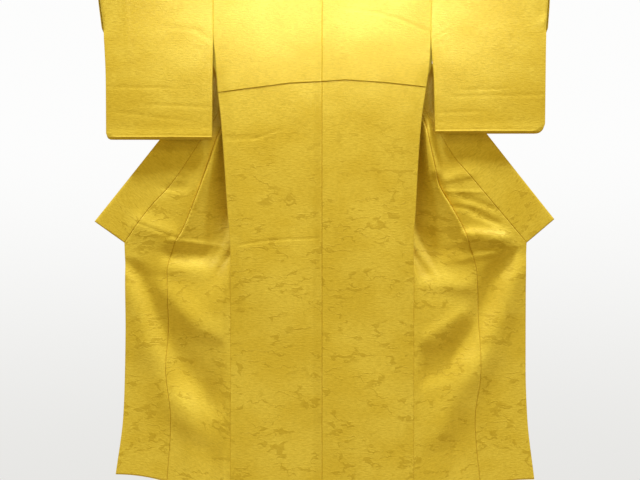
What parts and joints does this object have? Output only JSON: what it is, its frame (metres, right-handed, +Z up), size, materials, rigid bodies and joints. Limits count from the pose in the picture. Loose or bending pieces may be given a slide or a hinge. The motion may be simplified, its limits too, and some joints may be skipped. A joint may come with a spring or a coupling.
{
  "type": "kimono",
  "caption": "Plain silk kimono hung by a straight rod through its sleeves, seen from the back, with both fronts and the collar opened out sideways behind the sleeves.",
  "frame": {"origin": "centre of the rod that holds the garment, midway between its ends, under the shoulder fold", "axes": "+Z up, +X to the right of someone who looks at the garment's back, +Y away from them, towards the wearer's front"},
  "size_m": [1.46, 0.0601, 1.7183],
  "materials": {
    "gold_silk": "soft satin",
    "rod_wood": "satin"
  },
  "bodies": {
    "root": {"body_left": "gold_silk", "body_right": "gold_silk", "okumi_left": "gold_silk", "okumi_right": "gold_silk", "sleeve_left": "gold_silk", "sleeve_right": "gold_silk", "collar": "gold_silk", "over_collar": "gold_silk", "rod": "rod_wood"}
  },
  "joints": []
}
